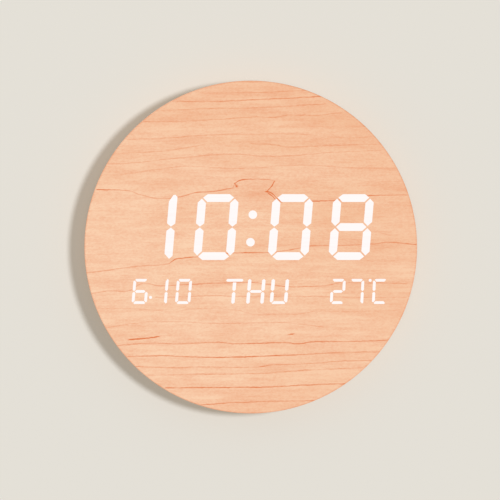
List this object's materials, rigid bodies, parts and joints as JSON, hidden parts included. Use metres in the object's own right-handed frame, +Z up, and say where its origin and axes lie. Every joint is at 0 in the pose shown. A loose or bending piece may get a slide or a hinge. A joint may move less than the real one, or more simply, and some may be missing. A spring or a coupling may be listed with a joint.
{
  "type": "digital wall clock",
  "caption": "Round flat wood-veneered wall clock with a lit digital time, date, weekday and temperature display, a keyhole hanger, push buttons and a hinged battery door.",
  "frame": {"origin": "centre of the clock on the wall plane that its bumpers rest against", "axes": "+X right as the clock is read, +Y into the wall, +Z up"},
  "size_m": [0.3, 0.03, 0.3],
  "materials": {
    "face_wood": "satin, pale pink-peach veneer",
    "edge_wood": "satin, the same veneer as a band",
    "fibre_board": "raw wood fibre",
    "lit_white": "glowing white",
    "diffuser_film": "milky film",
    "reflector_white": "bright white moulding",
    "circuit_board": "green lacquer",
    "lamp_body": "pale resin",
    "white_nylon": "natural white",
    "chip_black": "fine matte black",
    "bright_can": "bright",
    "buzzer_black": "matte black",
    "sensor_resin": "dipped black resin",
    "lead_insulation": "soft insulation",
    "cover_plastic": "fine spark-eroded black",
    "button_plastic": "smooth dark grey",
    "plunger_plastic": "smooth black",
    "switch_body": "matte black",
    "bumper_rubber": "matte black",
    "hanger_steel": "zinc plated",
    "screw_steel": "zinc plated",
    "contact_nickel": "nickel plated",
    "cell_sleeve": "plain dark sleeve"
  },
  "bodies": {
    "clock": {"alarm_buzzer": "buzzer_black", "back_cover": "cover_plastic", "battery_cell_lower": "cell_sleeve", "battery_cell_middle": "cell_sleeve", "battery_cell_upper": "cell_sleeve", "battery_connector": "white_nylon", "battery_leads": "lead_insulation", "board_screws": "screw_steel", "board_standoffs": "white_nylon", "case_ring": "fibre_board", "clock_chip": "chip_black", "clock_crystal": "bright_can", "controller_chip": "chip_black", "cover_screws": "screw_steel", "date_diffuser": "diffuser_film", "date_reflector": "reflector_white", "display_board": "circuit_board", "down_switch": "switch_body", "driver_chips": "chip_black", "edge_veneer": "edge_wood", "face_panel": "fibre_board", "front_veneer": "face_wood", "hanger_plate": "hanger_steel", "hanger_screws": "screw_steel", "left_bridge_contact": "contact_nickel", "lit_date": "lit_white", "lit_temperature": "lit_white", "lit_time": "lit_white", "lit_weekday": "lit_white", "negative_contact": "contact_nickel", "positive_contact": "contact_nickel", "power_inlet_shell": "bright_can", "power_inlet_tongue": "chip_black", "right_bridge_contact": "contact_nickel", "segment_lights": "lamp_body", "set_switch": "switch_body", "smoothing_capacitors": "bright_can", "temperature_diffuser": "diffuser_film", "temperature_reflector": "reflector_white", "temperature_sensor": "sensor_resin", "time_diffuser": "diffuser_film", "time_reflector": "reflector_white", "up_switch": "switch_body", "voltage_regulator": "chip_black", "wall_bumpers": "bumper_rubber", "weekday_diffuser": "diffuser_film", "weekday_reflector": "reflector_white"},
    "set_button": {"set_button": "button_plastic", "set_plunger": "plunger_plastic"},
    "up_button": {"up_button": "button_plastic", "up_plunger": "plunger_plastic"},
    "down_button": {"down_button": "button_plastic", "down_plunger": "plunger_plastic"},
    "battery_door": {"battery_door": "cover_plastic"}
  },
  "joints": [
    {"name": "set_press", "type": "slide", "parent": "clock", "child": "set_button", "axis": [0, -1, 0], "range_m": [0, 0.00035], "stiffness_N_per_m": 4000},
    {"name": "up_press", "type": "slide", "parent": "clock", "child": "up_button", "axis": [0, -1, 0], "range_m": [0, 0.00035], "stiffness_N_per_m": 4000},
    {"name": "down_press", "type": "slide", "parent": "clock", "child": "down_button", "axis": [0, -1, 0], "range_m": [0, 0.00035], "stiffness_N_per_m": 4000},
    {"name": "battery_door_hinge", "type": "hinge", "parent": "clock", "child": "battery_door", "pos_m": [0, -0.0041, -0.0746], "axis": [1, 0, 0], "range_deg": [0, 100]}
  ]
}
